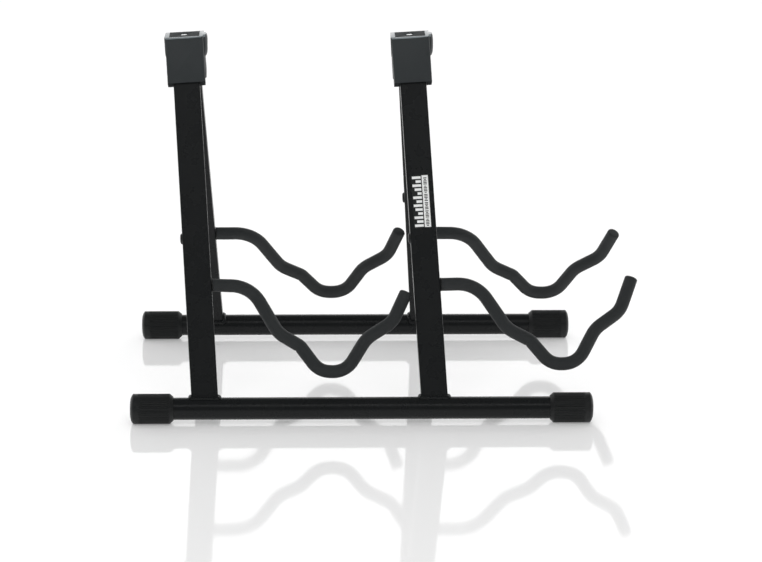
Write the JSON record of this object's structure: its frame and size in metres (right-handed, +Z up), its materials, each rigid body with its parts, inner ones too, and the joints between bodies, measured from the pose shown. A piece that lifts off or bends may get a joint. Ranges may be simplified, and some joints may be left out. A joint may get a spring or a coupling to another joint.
{
  "type": "folding guitar rack",
  "caption": "Folding double A-frame rack: leaning legs on tube feet hinge at the top, and foam-covered bent arms cradle guitars one behind the other.",
  "frame": {"origin": "centre of the object's bounding box at floor level, under the fold hinge", "axes": "+X to the front of the rack, the way the arms point; +Y from the near foot tube to the far foot tube; +Z up"},
  "size_m": [0.5744, 0.3936, 0.4101],
  "materials": {
    "black_paint": "satin",
    "foot_rubber": "matte, ribbed",
    "hinge_plastic": "fine satin",
    "dark_steel": "satin black",
    "arm_foam": "matte closed-cell foam",
    "washer_rubber": "matte",
    "bright_steel": "zinc-bright",
    "label_film": "satin printed film"
  },
  "bodies": {
    "near_frame": {"near_foot_tube": "black_paint", "near_rear_foot_cap": "foot_rubber", "near_rear_leg": "black_paint", "near_rear_leg_weld": "black_paint", "near_rear_hinge_cap": "hinge_plastic", "near_rear_arm_rod": "dark_steel", "near_rear_arm_foam": "arm_foam", "near_rear_arm_washer": "washer_rubber", "near_rear_arm_screw": "dark_steel", "near_front_foot_cap": "foot_rubber", "near_front_leg": "black_paint", "near_front_leg_weld": "black_paint", "near_front_hinge_cap": "hinge_plastic", "near_front_arm_rod": "dark_steel", "near_front_arm_foam": "arm_foam", "near_front_arm_washer": "washer_rubber", "near_front_arm_screw": "dark_steel", "rear_hinge_pin": "bright_steel", "rear_pin_lock_screw": "bright_steel", "front_hinge_pin": "bright_steel", "front_pin_lock_screw": "bright_steel", "near_front_leg_label": "label_film"},
    "far_frame": {"far_foot_tube": "black_paint", "far_rear_foot_cap": "foot_rubber", "far_rear_leg": "black_paint", "far_rear_leg_weld": "black_paint", "far_rear_hinge_cap": "hinge_plastic", "far_rear_arm_rod": "dark_steel", "far_rear_arm_foam": "arm_foam", "far_rear_arm_washer": "washer_rubber", "far_rear_arm_screw": "dark_steel", "far_front_foot_cap": "foot_rubber", "far_front_leg": "black_paint", "far_front_leg_weld": "black_paint", "far_front_hinge_cap": "hinge_plastic", "far_front_arm_rod": "dark_steel", "far_front_arm_foam": "arm_foam", "far_front_arm_washer": "washer_rubber", "far_front_arm_screw": "dark_steel"}
  },
  "joints": [
    {"name": "fold_hinge", "type": "hinge", "parent": "near_frame", "child": "far_frame", "pos_m": [0, 0, 0.39761], "axis": [-1, 0, 0], "range_deg": [0, 45.8]}
  ]
}
